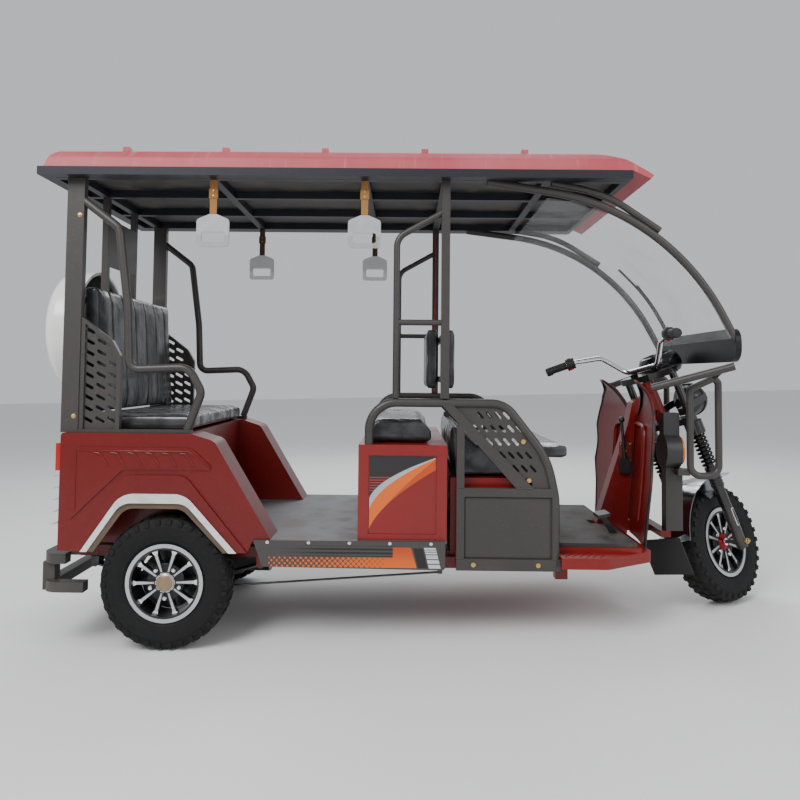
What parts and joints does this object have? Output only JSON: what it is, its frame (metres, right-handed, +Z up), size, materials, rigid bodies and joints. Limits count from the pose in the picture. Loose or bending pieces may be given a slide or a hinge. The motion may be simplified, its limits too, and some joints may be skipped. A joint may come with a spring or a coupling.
{
  "type": "auto rickshaw",
  "caption": "Open three-wheeled passenger vehicle with a hard roof, facing rear seats, a driver's seat, handlebar steering and alloy wheels.",
  "frame": {"origin": "on the ground, under the centre of the vehicle's bounding box", "axes": "+X forward, +Y to the vehicle's left, +Z up; the bodywork stands 1.58 degrees nose down"},
  "size_m": [3.0139, 1.048, 1.8551],
  "materials": {
    "body_red": "deep red gloss paint",
    "roof_red": "faded rose-red satin paint",
    "frame_paint": "dark grey satin paint",
    "black_paint": "black satin paint",
    "deck_grey": "light grey ribbed sheet",
    "spring_steel": "dull sprung steel",
    "alloy": "black alloy with bright machined faces",
    "bright_chrome": "polished",
    "tyre_rubber": "matt rubber",
    "black_rubber": "ribbed rubber",
    "black_vinyl": "sewn vinyl under clear wrap",
    "black_plastic": "moulded",
    "gloss_black": "smooth gloss",
    "white_cover": "smooth white",
    "lamp_red": "clear red lens",
    "amber_lens": "amber lens with dark case",
    "grip_plastic": "pale translucent plastic",
    "orange_webbing": "woven strap",
    "grey_liner": "stretched lining",
    "clear_sheet": "clear bent sheet"
  },
  "bodies": {
    "body": {"chassis_frame": "body_red", "rear_axle": "black_paint", "leaf_springs": "spring_steel", "quarter_panels": "body_red", "arch_trims": "white_cover", "seat_base": "deck_grey", "tail_panel": "deck_grey", "tail_lamps": "lamp_red", "rear_bumper": "frame_paint", "rear_frame": "frame_paint", "spare_tyre": "tyre_rubber", "spare_cover": "white_cover", "rear_side_guards": "frame_paint", "grab_rails": "frame_paint", "rear_cushion": "black_vinyl", "rear_backrest": "black_vinyl", "middle_box": "body_red", "battery_pack": "black_plastic", "bench_cushion": "black_vinyl", "floor_deck": "deck_grey", "sill_plates": "black_paint", "driver_seat_box": "body_red", "driver_cushion": "black_vinyl", "middle_pillars": "frame_paint", "side_frames": "frame_paint", "grab_loops": "frame_paint", "seat_backs": "black_vinyl", "roof_shell": "roof_red", "roof_frame": "frame_paint", "roof_liner": "grey_liner", "windscreen_frame": "frame_paint", "windscreen": "clear_sheet", "screen_panel": "gloss_black", "front_guard": "frame_paint", "nose_posts": "frame_paint", "front_signals": "amber_lens", "leg_shield": "body_red", "front_floor_pan": "body_red", "floor_mat": "black_rubber", "driver_controls": "black_paint", "hand_grips": "grip_plastic", "hand_straps": "orange_webbing"},
    "steering": {"fork": "black_paint", "fork_springs": "spring_steel", "front_fender": "gloss_black", "mud_flap": "black_rubber", "handlebar": "bright_chrome", "bar_grips": "black_rubber", "instrument_pod": "bright_chrome", "headlamp": "gloss_black"},
    "rear_wheel_right": {"tyre_rear_right": "tyre_rubber", "rim_rear_right": "alloy"},
    "rear_wheel_left": {"tyre_rear_left": "tyre_rubber", "rim_rear_left": "alloy"},
    "front_wheel": {"tyre_front": "tyre_rubber", "rim_front": "alloy"}
  },
  "joints": [
    {"name": "steering_turn", "type": "hinge", "parent": "body", "child": "steering", "pos_m": [1.26985, 0, 0.2315], "axis": [-0.342, 0, 0.9397], "range_deg": [-80, 4]},
    {"name": "front_wheel_roll", "type": "hinge", "parent": "steering", "child": "front_wheel", "pos_m": [1.29058, 0.01724, 0.23905], "axis": [-0.5785, 0.788, -0.2106], "continuous": true},
    {"name": "rear_wheel_right_roll", "type": "hinge", "parent": "body", "child": "rear_wheel_right", "pos_m": [-0.90915, -0.43, 0.24], "axis": [0, 1, 0], "continuous": true},
    {"name": "rear_wheel_left_roll", "type": "hinge", "parent": "body", "child": "rear_wheel_left", "pos_m": [-0.90915, 0.43, 0.24], "axis": [0, 1, 0], "continuous": true}
  ]
}
